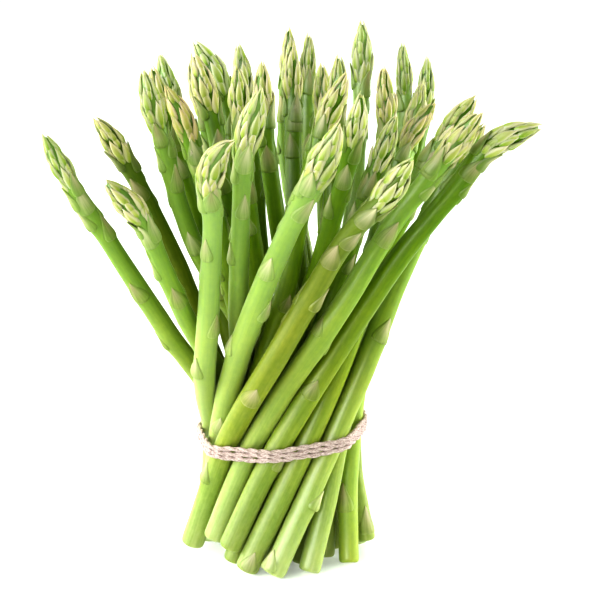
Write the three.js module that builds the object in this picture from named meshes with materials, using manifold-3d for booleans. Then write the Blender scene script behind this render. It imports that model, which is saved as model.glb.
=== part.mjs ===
// A bundle of fresh green asparagus: 35 spears that stand on their cut ends, fanned out in a twist,
// and three turns of jute twine that hold them together low down. Millimetres, +Z up. The front of
// the bundle faces -Y, and +X is on the right of someone who looks at the front.
//
// Each spear is one grown piece: a stem with the small triangular scales that it carries at its
// nodes, and a pointed head of overlapping buds. Scales and buds follow one spiral, counted down
// from the tip, with the golden angle between one and the next.

import * as THREE from 'three';
import { ConvexGeometry } from 'three/addons/geometries/ConvexGeometry.js';
import { mergeVertices } from 'three/addons/utils/BufferGeometryUtils.js';
import Module from 'manifold-3d';

const wasm = await Module();
wasm.setup();

// ---- Driving dimensions: millimetres, and degrees where a name says so -------------------------

const TIE_HEIGHT = 53; // the middle of the twine, above the ground
const TWINE = 2.1; // thickness of the twine
const TWINE_TURNS = 3;
const TWINE_PITCH = 1.9; // from one turn to the next
const TWINE_TILT_DEG = 5.3; // the loop rises towards the right
const TWINE_CLEARANCE = 0.6; // from the spears to the twine
const TWINE_CORNERS = 30; // sides of the loop, seen from above
const TWINE_ARC = 2; // sides of one turn's round outer face
const TWINE_ARC_DEG = 60; // the round face ends this far above and below the outermost point
const KNOT = [4.2, 2.6, 3.6]; // half sizes of the knot, at the back
const KNOT_SUNK = 0.6; // of the knot, into the loop
const END_LENGTH = 13; // of the two short ends of the twine
const END_SLOPE_DEG = 28; // they hang down from the knot, apart
const END_ASIDE = 6.5; // middle of an end, from the knot
const END_BELOW = 4;
const TIED_RADIUS = 31; // of the bundle inside the twine

const STEM = 8.4; // usual thickness of a stem, from its foot to two thirds of its length
const NECK_SHARE = 0.8; // thickness just under the head, as a share of the stem's
const THINS_FROM = 0.45; // a stem thins towards its neck from this share of the spear's length
const HEAD_LENGTH = 28;
const HEAD_WIDTH = 9.6;
const SIDES = 6; // sides of a stem
const FOOT_FLAT = 0.8; // height of the rim that the level cut takes off a leaning foot
const FOOT_TWIST = 0.63; // how far the twist carries a foot round, as a share of its spear's ring
const GAP = 0.5; // least distance between neighbours
const FINEST = 0.12; // slivers smaller than this are left out of a spear

const GOLDEN_ANGLE_DEG = 137.5;
const SPEAR_TURN_DEG = 100; // each spear is turned further than the one before it
const BUDS = 10; // buds of a head
const BUD_LENGTH = 0.36; // of the lowest one, as a share of its head's
const BUD_WIDTH = 0.47;
const BUD_SHORTER = 0.3; // the topmost bud is shorter than the lowest by this share
const BUD_NARROWER = 0.45;
const BUD_WIDEST = 0.36; // a bud is widest at this share of its length
const BUD_ROOT = 0.3; // how far out a bud starts, as a share of the head's radius there
const BUD_SIDES = 0.62; // how far out the edges of a bud lie
const BUD_TIP = 0.8; // how far out its tip lies
const CORE = 0.74; // width of a head inside its buds, as a share of the head's
const CORE_PLACES = [0.4, 0.8]; // sections of the core, as shares of the head's length
const CORE_END = 1; // from the core's end to the tip
const SCALE_LENGTH = 10;
const SCALE_LEDGE = 0.8; // height of the ledge under a scale's foot
const SCALE_STANDS_OUT = 0.9; // the foot of a scale, beyond the stem
const SCALE_STEPS = [10, 29, 56, 88]; // below the head
const SCALE_ROOM = [6, 13]; // neighbours keep off a scale from this far below to this far above its foot

// Half the width of a head along its length, as a share of its greatest: [place, share].
const HEAD_OUTLINE = [[0, 0.74], [0.2, 0.92], [0.42, 1], [0.66, 0.8], [0.85, 0.46], [1, 0.1]];

// The spears. `at` is the direction in degrees, from the front round to the right, in which a spear
// passes the middle of the tie, and `ring` its distance from there. `through` lists points of its
// middle line above the tie, and the last is its tip. `foot` is the middle of its cut end, where
// that isn't set by the twist.
const SPEARS = [
  // outer spears, from the left round the front
  { at: -99, ring: 28, through: [[-30, -24, 84], [-29, -38, 119], [-27, -56, 156], [-28, -66, 174],
    [-24, -71, 186], [-18, -73, 190]], foot: [-34, 18, 3], thick: 9.2, head: [30, 11.8] },
  { at: -78, ring: 28, through: [[-13, -40, 112], [1, -60, 151], [14, -74, 181], [21, -78, 198]],
    foot: [-33, 8, 3], thick: 10, head: [31, 12.6] },
  { at: -53, ring: 28, through: [[-6, -37, 89], [10, -48, 122], [24, -62, 151], [36, -73, 167],
    [47, -82, 186]], foot: [-39, -11, 5], thick: 9.8, ripe: true, head: [30, 11.4] },
  { at: -28, ring: 27, through: [[14, -39, 101], [25, -43, 120], [41, -46, 150], [60, -48, 177],
    [75, -49, 197]], foot: [-29, -20, 11], thick: 9.2, head: [28, 10.8] },
  { at: -7, ring: 28, through: [[22, -31, 98], [47, -36, 139], [64, -39, 161], [76, -42, 179],
    [86, -42, 186], [100, -42, 189]], foot: [-21, -28, 10], thick: 9.6, head: [29, 11.4] },
  { at: 15, ring: 28, through: [[27, -20, 106], [49, -11, 152], [61, -9, 174], [77, -8, 196]],
    foot: [-17, -30, 3], thick: 9.8, head: [28, 10.8] },
  { at: 36, ring: 28, through: [[45, 0, 116], [68, 16, 156], [83, 22, 179]], foot: [-6, -35, 3],
    thick: 9.6 },
  { at: 56, ring: 28, through: [[37, 4, 122], [51, 28, 168], [64, 32, 186]],
    foot: [10, -32, 3], thick: 9.2 },
  { at: 76, ring: 28, through: [[44, 30, 130], [60, 56, 190]], foot: [27, -19, 3], ripe: true },
  { at: 96, ring: 28, through: [[45, 34, 128], [60, 60, 172], [62, 68, 200]], foot: [34, -6, 5], head: [28, 8.4] },
  // outer spears at the back
  { at: 117, ring: 28, through: [[50, 60, 150], [53, 70, 178], [51, 74, 205]], head: [28, 8] },
  { at: 138, ring: 28, through: [[29, 40, 128], [32, 60, 159], [34, 72, 187], [34, 77, 214]],
    head: [31, 10.4] },
  { at: 160, ring: 28, through: [[5, 45, 134], [7, 70, 172], [9, 78, 208]], head: [28, 8] },
  { at: 182, ring: 28, through: [[-15, 52, 174], [-20, 62, 206]] },
  { at: 203, ring: 28, through: [[-34, 44, 180], [-40, 51, 201]] },
  { at: 223, ring: 28, through: [[-36, 2, 112], [-62, -23, 173], [-73, -28, 191]], head: [25, 9.8] },
  { at: 242, ring: 28, through: [[-44, -6, 90], [-68, -35, 141], [-82, -48, 169], [-91, -54, 190]],
    head: [29, 9] },
  // a middle ring
  { at: 250, ring: 18, through: [[-35, -25, 100], [-44, -42, 126], [-55, -56, 158], [-68, -64, 173]],
    head: [27, 11.2] },
  { at: -80, ring: 18, through: [[-19, -26, 107], [-17, -44, 148], [-15, -56, 181], [-8, -63, 208]],
    head: [31, 11.6] },
  { at: -48, ring: 19, through: [[-18, -22, 72], [-9, -28, 96], [0, -31, 120], [7, -32, 156],
    [15, -30, 186], [25, -27, 208]], head: [28, 10.4] },
  { at: -15, ring: 18, through: [[44, -22, 191]], foot: [-22, -19, 3] },
  { at: 20, ring: 18, through: [[29, 4, 137], [39, 8, 160], [42, 12, 180], [40, 14, 204]] },
  { at: 55, ring: 18, through: [[23, 28, 207]] },
  { at: 85, ring: 18, through: [[16, 48, 200]] },
  { at: 115, ring: 18, through: [[5, 16, 141], [4, 28, 178], [3, 34, 211]], head: [28, 9] },
  { at: 145, ring: 18, through: [[4, 59, 159], [4, 74, 212]], head: [28, 8] },
  { at: 175, ring: 18, through: [[-21, 10, 148], [-23, 20, 173], [-25, 24, 191], [-37, 26, 213]],
    head: [29, 11.4] },
  { at: 205, ring: 18, through: [[-39, 22, 158], [-46, 28, 184], [-52, 34, 206]] },
  { at: 228, ring: 18, through: [[-54, 8, 205]] },
  // the inside
  { at: 0, ring: 9, through: [[23, -48, 168], [27, -56, 189], [29, -60, 206]], head: [25, 9] },
  { at: -60, ring: 9, through: [[-16, -24, 168], [-18, -32, 212]] },
  { at: 240, ring: 9, through: [[-25, -20, 145], [-34, -28, 173], [-39, -32, 191], [-46, -34, 204]] },
  { at: 195, ring: 9, through: [[-38, -6, 131], [-44, -14, 154], [-49, -18, 179], [-56, -20, 208]],
    head: [28, 10.4] },
  { at: 140, ring: 9, through: [[-24, -12, 162], [-28, -10, 186], [-36, -6, 213]],
    head: [28, 10.6] },
  { at: 70, ring: 9, through: [[-7, -2, 174], [-9, 4, 208]] },
];

const GREEN = 0x86b440;
const RIPE_GREEN = 0xb4bd58;
const JUTE = 0xcdb9a6;

// ---- The middle lines of the spears --------------------------------------------------------------

const SAMPLES = 34; // points along a middle line while the spears are settled
const ROUNDS = 300; // passes that push neighbours apart
const PULL_BACK = 0.02; // share of its shift that a point gives back in each pass
const EVEN_OUT = 0.35; // share of a point's shift that it evens out with the points beside it
const TIED_HEIGHT = 6; // the twine's hold reaches this far above and below its middle
const LAST_ROUNDS = 100; // passes at the end without the pull back
const OUT_OF_REACH = 20; // points further apart than this can't touch

const radians = THREE.MathUtils.degToRad;

function atTie({ at, ring }) {
  return new THREE.Vector3(ring * Math.sin(radians(at)), -ring * Math.cos(radians(at)), TIE_HEIGHT);
}

function loopHeight(x) {
  return TIE_HEIGHT + x * Math.tan(radians(TWINE_TILT_DEG));
}

// The twist of the bundle carries each foot back round the tie by the same angle.
function footPlace(spear) {
  if (spear.foot) {
    return new THREE.Vector3(...spear.foot);
  }
  const tie = atTie(spear);
  const back = FOOT_TWIST * spear.ring;
  const along = new THREE.Vector3(Math.cos(radians(spear.at)), Math.sin(radians(spear.at)), 0);
  return new THREE.Vector3(tie.x, tie.y, 0).addScaledVector(along, -back);
}

// A leaning foot is sunk until the ground takes FOOT_FLAT off its rim.
function standOnGround(foot, tie, radius) {
  const lean = new THREE.Vector3().subVectors(tie, foot).normalize();
  const rim = radius * Math.hypot(lean.x, lean.y);
  foot.z = rim - FOOT_FLAT;
}

function startSpear(spec, index) {
  const thick = spec.thick ?? STEM;
  const [headLength, headWidth] = spec.head ?? [HEAD_LENGTH, HEAD_WIDTH];
  const foot = footPlace(spec);
  const tie = atTie(spec);
  if (!spec.foot || spec.foot[2] <= 3) {
    standOnGround(foot, tie, thick / 2);
  }
  const through = spec.through.map((point) => new THREE.Vector3(...point));
  const curve = new THREE.CatmullRomCurve3([foot, tie, ...through], false, 'centripetal');
  const wanted = curve.getSpacedPoints(SAMPLES - 1);
  const length = curve.getLength();
  const spear = { index, thick, headLength, headWidth, length, ripe: spec.ripe };
  spear.wanted = wanted;
  spear.points = wanted.map((point) => point.clone());
  spear.reach = wanted.map((_, k) => outerRadius(spear, length * k / (SAMPLES - 1)));
  return spear;
}

function lerpTable(table, place) {
  const next = table.findIndex(([at]) => at >= place);
  if (next <= 0) {
    return table[next === 0 ? 0 : table.length - 1][1];
  }
  const [a, low] = table[next - 1];
  const [b, high] = table[next];
  return low + (high - low) * (place - a) / (b - a);
}

function headStart(spear) {
  return spear.length - spear.headLength;
}

function stemRadius(spear, distance) {
  const thinning = THREE.MathUtils.smoothstep(distance, THINS_FROM * spear.length, headStart(spear));
  return spear.thick / 2 * (1 - (1 - NECK_SHARE) * thinning);
}

function headRadius(spear, distance) {
  return spear.headWidth / 2 * lerpTable(HEAD_OUTLINE, (distance - headStart(spear)) / spear.headLength);
}

// The scales of a stem, from the top one down: how far up the stem, and on which side.
function scalesOf(spear) {
  return SCALE_STEPS.map((step, k) => ({
    from: headStart(spear) - step,
    angle: spiralAngle(spear, BUDS + k),
  }));
}

function spiralAngle(spear, count) {
  return radians(GOLDEN_ANGLE_DEG * count + SPEAR_TURN_DEG * spear.index);
}

// The distance from the middle line that a spear needs for itself.
function outerRadius(spear, distance) {
  if (distance > headStart(spear)) {
    return headRadius(spear, distance);
  }
  const [below, above] = SCALE_ROOM;
  const onScale = scalesOf(spear).some(({ from }) => distance > from - below && distance < from + above);
  return stemRadius(spear, distance) + (onScale ? SCALE_STANDS_OUT : 0);
}

const segment = new THREE.Line3();
const nearest = new THREE.Vector3();
const push = new THREE.Vector3();

function pushApart(one, other) {
  for (let i = 0; i < SAMPLES; i++) {
    const point = one.points[i];
    for (let j = 0; j < SAMPLES - 1; j++) {
      const start = other.points[j];
      const end = other.points[j + 1];
      if (Math.abs(start.z - point.z) > OUT_OF_REACH || Math.abs(start.x - point.x) > OUT_OF_REACH) {
        continue;
      }
      segment.set(start, end);
      const share = segment.closestPointToPointParameter(point, true);
      segment.at(share, nearest);
      const needed = one.reach[i] + Math.max(other.reach[j], other.reach[j + 1]) + GAP;
      const apart = point.distanceTo(nearest);
      if (apart >= needed || apart === 0) {
        continue;
      }
      push.subVectors(point, nearest).multiplyScalar((needed - apart) / apart / 2);
      point.add(push);
      start.addScaledVector(push, -(1 - share));
      end.addScaledVector(push, -share);
    }
  }
}

// A spear bends gently: the shift of each point is evened out with those beside it. The foot keeps
// its height, because the spear stands on it.
function bendGently(spear, pullBack) {
  const shifts = spear.points.map((point, k) => point.clone().sub(spear.wanted[k]));
  spear.points.forEach((point, k) => {
    const before = shifts[Math.max(k - 1, 0)];
    const after = shifts[Math.min(k + 1, SAMPLES - 1)];
    const even = before.clone().add(after).multiplyScalar(0.5);
    const shift = shifts[k].clone().lerp(even, EVEN_OUT).multiplyScalar(1 - pullBack);
    point.copy(spear.wanted[k]).add(shift);
  });
  spear.points[0].z = spear.wanted[0].z;
}

// The twine holds each spear inside its loop.
function cinch(spear) {
  spear.points.forEach((point, k) => {
    const room = TIED_RADIUS - spear.reach[k];
    const out = Math.hypot(point.x, point.y);
    if (Math.abs(point.z - loopHeight(point.x)) < TIED_HEIGHT && out > room) {
      point.x *= room / out;
      point.y *= room / out;
    }
  });
}

function settle(spears) {
  for (let round = 0; round < ROUNDS + LAST_ROUNDS; round++) {
    const pullBack = round < ROUNDS ? PULL_BACK : 0;
    spears.forEach((spear) => bendGently(spear, pullBack));
    if (round < ROUNDS) {
      spears.forEach(cinch);
    }
    for (const one of spears) {
      for (const other of spears) {
        if (one !== other) {
          pushApart(one, other);
        }
      }
    }
  }
  for (const spear of spears) {
    spear.curve = new THREE.CatmullRomCurve3(spear.points, false, 'centripetal');
    spear.length = spear.curve.getLength();
    const tied = spear.points.findIndex((point) => point.z > loopHeight(point.x));
    spear.tieDistance = spear.length * tied / (SAMPLES - 1);
  }
}

// ---- A spear's own coordinates -------------------------------------------------------------------

const Y_AXIS = new THREE.Vector3(0, 1, 0);

// A point at a distance from the foot along the middle line, and a radius out from it. Angle 0 is
// on the right of the spear, and a quarter turn is behind it.
function place(spear, distance, angle, radius) {
  const share = THREE.MathUtils.clamp(distance / spear.length, 0, 1);
  const tangent = spear.curve.getTangentAt(share);
  const right = new THREE.Vector3().crossVectors(Y_AXIS, tangent).normalize();
  const back = new THREE.Vector3().crossVectors(tangent, right);
  return spear.curve.getPointAt(share)
    .addScaledVector(right, radius * Math.cos(angle))
    .addScaledVector(back, radius * Math.sin(angle));
}

// ---- Solids --------------------------------------------------------------------------------------

function toSolid(geometry) {
  const bare = geometry.clone();
  bare.deleteAttribute('normal');
  bare.deleteAttribute('uv');
  const merged = mergeVertices(bare, 1e-4);
  const vertProperties = new Float32Array(merged.attributes.position.array);
  const triVerts = new Uint32Array(merged.index.array);
  return new wasm.Manifold(new wasm.Mesh({ numProp: 3, vertProperties, triVerts }));
}

function toGeometry(solid) {
  const mesh = solid.getMesh();
  const geometry = new THREE.BufferGeometry();
  geometry.setAttribute('position', new THREE.BufferAttribute(mesh.vertProperties, 3));
  geometry.setIndex(new THREE.BufferAttribute(mesh.triVerts, 1));
  geometry.computeVertexNormals();
  return geometry;
}

// The sections of a stem, from its foot to the core of its head. Each scale takes three of them: one
// under its foot, one at its foot, where one corner stands out, and one at its point. The corners of
// the sections turn by less than half a side, so that one of them always meets the scale.
function sectionsOf(spear) {
  const side = 2 * Math.PI / SIDES;
  const sections = [];
  let turn = 0;
  const add = (distance, radius, proudCorner = -1) => sections.push({ distance, radius, turn, proudCorner });
  add(0, 0);
  add(0, stemRadius(spear, 0));
  add(0.5 * spear.tieDistance, stemRadius(spear, 0));
  add(spear.tieDistance, stemRadius(spear, 0));
  add((spear.tieDistance + scalesOf(spear).at(-1).from) / 2, stemRadius(spear, 0));
  for (const { from, angle } of scalesOf(spear).reverse()) {
    const corner = Math.round((angle - turn) / side);
    turn = angle - corner * side;
    add(from - SCALE_LEDGE, stemRadius(spear, from));
    add(from, stemRadius(spear, from), THREE.MathUtils.euclideanModulo(corner, SIDES));
    add(from + SCALE_LENGTH, stemRadius(spear, from + SCALE_LENGTH));
  }
  for (const share of CORE_PLACES) {
    const distance = headStart(spear) + share * spear.headLength;
    add(distance, CORE * headRadius(spear, distance));
  }
  add(spear.length - CORE_END, 0);
  return sections;
}

// The stem and the core of the head: a turned shape, bent along the middle line.
function stemSolid(spear) {
  const sections = sectionsOf(spear);
  const profile = sections.map(({ distance, radius }) => new THREE.Vector2(radius, distance));
  const turned = new THREE.LatheGeometry(profile, SIDES);
  const position = turned.attributes.position;
  for (let k = 0; k < position.count; k++) {
    const { distance, radius, turn, proudCorner } = sections[k % sections.length];
    const corner = Math.floor(k / sections.length) % SIDES;
    const angle = turn + corner / SIDES * 2 * Math.PI;
    const bent = place(spear, distance, angle, radius + (corner === proudCorner ? SCALE_STANDS_OUT : 0));
    position.setXYZ(k, bent.x, bent.y, bent.z);
  }
  return toSolid(turned);
}

// A bud of the head: a pointed drop, rooted in the core, that leans in with the head's outline.
function budSolid(spear, count) {
  const share = 1 - count / (BUDS - 1);
  const length = BUD_LENGTH * spear.headLength * (1 - BUD_SHORTER * share);
  const width = BUD_WIDTH * spear.headWidth * (1 - BUD_NARROWER * share);
  const from = headStart(spear) + (spear.headLength - length) * share;
  const tip = from + length;
  const middle = from + BUD_WIDEST * length;
  const angle = spiralAngle(spear, count);
  const radius = headRadius(spear, middle);
  const sideRadius = BUD_SIDES * radius;
  const half = Math.asin(Math.min(width / 2 / sideRadius, 0.95));
  return toSolid(new ConvexGeometry([
    place(spear, from, angle, BUD_ROOT * headRadius(spear, from)),
    place(spear, middle, angle - half, sideRadius),
    place(spear, middle, angle + half, sideRadius),
    place(spear, middle, angle, radius),
    place(spear, tip, angle, BUD_TIP * headRadius(spear, tip)),
  ]));
}

function spearMesh(spear) {
  const solids = [stemSolid(spear)];
  for (let count = 0; count < BUDS; count++) {
    solids.push(budSolid(spear, count));
  }
  const grown = wasm.Manifold.union(solids).trimByPlane([0, 0, 1], 0).simplify(FINEST);
  const color = spear.ripe ? RIPE_GREEN : GREEN;
  const material = new THREE.MeshStandardMaterial({ color, roughness: 0.5, metalness: 0 });
  const mesh = new THREE.Mesh(toGeometry(grown), material);
  mesh.name = `spear_${String(spear.index).padStart(2, '0')}`;
  return mesh;
}

// ---- Twine ---------------------------------------------------------------------------------------

// Places on the skins of the spears, within the height that the twine covers.
function skinInTwine(spears) {
  const half = (TWINE_TURNS - 1) * TWINE_PITCH / 2 + TWINE;
  const skin = [];
  for (const spear of spears) {
    for (let distance = 30; distance < 90; distance += 1.5) {
      for (let turn = 0; turn < 24; turn++) {
        const point = place(spear, distance, turn * Math.PI / 12, stemRadius(spear, distance));
        if (Math.abs(point.z - loopHeight(point.x)) < half) {
          skin.push(point);
        }
      }
    }
  }
  return skin;
}

// The outline that a tight string takes round points, seen from above, anticlockwise.
function tightOutline(points) {
  const sorted = [...points].sort((a, b) => a.x - b.x || a.y - b.y);
  const turnsLeft = (a, b, c) => (b.x - a.x) * (c.y - a.y) - (b.y - a.y) * (c.x - a.x) > 0;
  const half = (list) => {
    const chain = [];
    for (const point of list) {
      while (chain.length > 1 && !turnsLeft(chain.at(-2), chain.at(-1), point)) {
        chain.pop();
      }
      chain.push(point);
    }
    chain.pop();
    return chain;
  };
  return [...half(sorted), ...half([...sorted].reverse())];
}

// How far out the outline lies in a direction from the middle.
function outlineReach(outline, angle) {
  const ray = new THREE.Vector2(Math.cos(angle), Math.sin(angle));
  let reach = 0;
  outline.forEach((a, k) => {
    const b = outline[(k + 1) % outline.length];
    const edge = new THREE.Vector2(b.x - a.x, b.y - a.y);
    const cross = ray.cross(edge);
    if (Math.abs(cross) < 1e-9) {
      return;
    }
    const share = (a.y * ray.x - a.x * ray.y) / cross * -1;
    const distance = (a.x * edge.y - a.y * edge.x) / cross;
    if (share >= 0 && share <= 1 && distance > reach) {
      reach = distance;
    }
  });
  return reach;
}

// Three turns that lie one on the other: a turned ring whose section is three fused rounds, drawn
// out to the tight outline.
function twineLoop(outline) {
  const section = [];
  const arc = radians(TWINE_ARC_DEG);
  for (let turn = 0; turn < TWINE_TURNS; turn++) {
    const height = (turn - (TWINE_TURNS - 1) / 2) * TWINE_PITCH;
    for (let k = 0; k <= TWINE_ARC; k++) {
      const angle = arc * (2 * k / TWINE_ARC - 1);
      section.push(new THREE.Vector2(TWINE / 2 * Math.cos(angle), height + TWINE / 2 * Math.sin(angle)));
    }
  }
  const inside = -TWINE / 2;
  const top = section.at(-1).y;
  section.push(new THREE.Vector2(inside, top));
  section.push(new THREE.Vector2(inside, -top));
  section.push(section[0].clone());
  const base = 100;
  section.forEach((point) => point.add(new THREE.Vector2(base, 0)));
  const ring = new THREE.LatheGeometry(section, TWINE_CORNERS);
  const position = ring.attributes.position;
  const step = 2 * Math.PI / TWINE_CORNERS;
  for (let k = 0; k < position.count; k++) {
    const angle = Math.atan2(-position.getZ(k), position.getX(k));
    const offset = Math.hypot(position.getX(k), position.getZ(k)) - base;
    const around = [-0.5, 0, 0.5].map((part) => outlineReach(outline, angle + part * step));
    const reach = Math.max(...around) + TWINE_CLEARANCE + TWINE / 2 + offset;
    const x = reach * Math.cos(angle);
    position.setXYZ(k, x, reach * Math.sin(angle), loopHeight(x) + position.getY(k));
  }
  return toSolid(ring);
}

function twineMesh(spears) {
  const outline = tightOutline(skinInTwine(spears));
  const loop = twineLoop(outline);
  const knotReach = outlineReach(outline, Math.PI / 2) + TWINE_CLEARANCE + TWINE;
  const knot = new THREE.IcosahedronGeometry(1, 1);
  knot.scale(...KNOT);
  knot.translate(0, knotReach + KNOT_SUNK, TIE_HEIGHT);
  const ends = [-1, 1].map((side) => {
    const end = new THREE.CylinderGeometry(TWINE / 2, TWINE / 2, END_LENGTH, 7);
    end.rotateX(Math.PI / 2);
    end.rotateY(-side * radians(90 - END_SLOPE_DEG));
    end.translate(side * END_ASIDE, knotReach + KNOT_SUNK, TIE_HEIGHT - END_BELOW);
    return end;
  });
  const solid = wasm.Manifold.union([loop, toSolid(knot), ...ends.map(toSolid)]);
  const material = new THREE.MeshStandardMaterial({ color: JUTE, roughness: 0.9, metalness: 0 });
  const mesh = new THREE.Mesh(toGeometry(solid), material);
  mesh.name = 'twine';
  return mesh;
}

// ---- The bundle ----------------------------------------------------------------------------------

const spears = SPEARS.map((spec, k) => startSpear(spec, k + 1));
settle(spears);

const bundle = new THREE.Group();
spears.forEach((spear) => bundle.add(spearMesh(spear)));
bundle.add(twineMesh(spears));

// The origin is on the ground under the middle of the bundle.
const box = new THREE.Box3().setFromObject(bundle);
bundle.position.set(-(box.min.x + box.max.x) / 2, -(box.min.y + box.max.y) / 2, -box.min.z);

export default bundle;
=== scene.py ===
"""A bundle of fresh green asparagus, tied low down with jute twine, on a pale floor.

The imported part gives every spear's middle line. Each spear is modelled straight, in millimetres, from
three blanks (a stem, a scale and a bud), and is then bent along its middle line. The twine is two
twisted strands, wound three times round the bundle.
"""

import math
import random

import bpy
import numpy as np
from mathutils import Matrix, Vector
from mathutils.geometry import convex_hull_2d


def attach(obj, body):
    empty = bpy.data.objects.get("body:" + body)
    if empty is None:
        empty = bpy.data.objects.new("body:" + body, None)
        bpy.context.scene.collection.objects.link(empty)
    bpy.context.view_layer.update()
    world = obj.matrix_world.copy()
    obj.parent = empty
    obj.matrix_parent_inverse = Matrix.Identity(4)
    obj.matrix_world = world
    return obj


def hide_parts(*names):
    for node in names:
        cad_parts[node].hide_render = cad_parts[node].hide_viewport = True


MM = 0.001
TAU = 2 * math.pi
TINY = 1e-6

# ---- Sizes in millimetres, and degrees where a name or a comment says so -------------------------

SPEARS = 35
STEM = 8.4  # usual thickness of a stem
THICK = {1: 9.2, 2: 10, 3: 9.8, 4: 9.2, 5: 9.6, 6: 9.8, 7: 9.6, 8: 9.2}
NECK_SHARE = 0.8  # how thick a stem is under its head, as a share of its thickness
THINS_FROM = 0.45  # the share of its length from which a stem thins
OUT_OF_ROUND = 0.012  # a share of the stem's radius
HEAD = (28, 9.6)  # usual length and width of a head
HEADS = {
    1: (30, 11.8), 2: (31, 12.6), 3: (30, 11.4), 4: (28, 10.8), 5: (29, 11.4), 6: (28, 10.8), 10: (28, 8.4),
    11: (28, 8), 12: (31, 10.4), 13: (28, 8), 16: (25, 9.8), 17: (29, 9), 18: (27, 11.2), 19: (31, 11.6),
    20: (28, 10.4), 25: (28, 9), 26: (28, 8), 27: (29, 11.4), 30: (25, 9), 33: (28, 10.4), 34: (28, 10.6),
}
# How pale and waxy a stem is, and how fawn its head, each from 0 to 1
TONES = {
    1: (0.75, 0.45), 2: (0.65, 0.4), 3: (0.3, 0.35), 4: (0.45, 0.6), 5: (0.2, 0.3), 6: (0.3, 0.55),
    7: (0.45, 0.55), 8: (0.4, 0.75), 9: (0.5, 0.4), 10: (0.2, 0.15), 11: (0.7, 0.2), 12: (0.7, 0.15),
    13: (0.5, 0.35), 14: (0.2, 0.25), 15: (0.25, 0.5), 16: (0.1, 0.6), 17: (0.5, 0.25), 18: (0.5, 0.5),
    19: (0.65, 0.3), 20: (0.3, 0.6), 21: (0.2, 0.35), 22: (0.25, 0.7), 23: (0.3, 0.45), 24: (0.3, 0.5),
    25: (0.2, 0.5), 26: (0.3, 0.45), 27: (0.3, 0.1), 28: (0.4, 0.1), 29: (0.3, 0.55), 30: (0.25, 0.3),
    31: (0.3, 0.45), 32: (0.35, 1.0), 33: (0.5, 0.3), 34: (0.2, 0.6), 35: (0.25, 0.6),
}
# Along the head, and the half width there, each as a share of the whole
HEAD_OUTLINE = [(0, 0.7), (0.15, 0.84), (0.35, 0.98), (0.45, 1), (0.66, 0.8), (0.85, 0.46), (1, 0.08)]
CORE_OUTLINE = [(0, 0.6), (0.2, 0.66), (0.4, 0.7), (0.6, 0.58), (0.8, 0.36), (0.92, 0.05)]
CORE_END = 3  # the core in the buds ends this far below the tip
CORE_BLEND = 5  # the stem turns into the core over this length
# Above the cut end, and the share of the stem's radius there
FOOT_ROUND = [(0, 0.64), (0.15, 0.79), (0.45, 0.9), (0.95, 0.965), (1.7, 0.993), (2.8, 1)]

GOLDEN_ANGLE = math.radians(137.5)
SPEAR_TURN = math.radians(100)  # each spear's spiral starts this much further round
BUDS = 10  # large buds in a head
BUD_GROUP = 4  # a large bud and the slimmer ones after it
BUD_LENGTH = (0.27, 0.11)  # share of the head's length at its tip, and how much more at its foot
BUD_WIDTH = (0.29, 0.14)  # the same for the width
SHIFTED_BUDS = 30  # counted from the tip; the first bud and those from this one on keep their height
LEAST_REACH = 1.5  # a bud isn't wrapped round a smaller radius
DROP_FOOT = 0.5  # the lower, the rounder is a bud's foot
DROP_POINT = 1.2  # the higher, the longer is its point
# Along a bud, and how far out it leans there, as a share of the head's half width
BUD_LEAN = [(0, 0.8), (0.15, 0.93), (0.35, 1), (0.75, 0.99), (1, 0.88)]

# Scales: how far below the head, turned from the head's spiral, length, half turn, how far proud, and
# how far the tip lifts (angles in degrees)
SCALES = [
    (0.5, 120, 11, 52, 0.6, 0.8),
    (4, 255, 12, 60, 0.6, 0.7),
    (7, 20, 12, 64, 0.5, 0.5),
    (10, 0, 12, 78, 0.4, 0.4),
    (16, 200, 12, 74, 0.4, 0.3),
    (22, 330, 11, 70, 0.35, 0.2),
    (29, 137.5, 11.5, 76, 0.35, 0.2),
    (42, 100, 10, 56, 0.35, 0.1),
    (56, 275, 11, 60, 0.35, 0.1),
    (72, 265, 10, 50, 0.35, 0.0),
    (88, 52.5, 10, 54, 0.35, 0.0),
    (112, 60, 9, 50, 0.3, 0.0),
]
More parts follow.
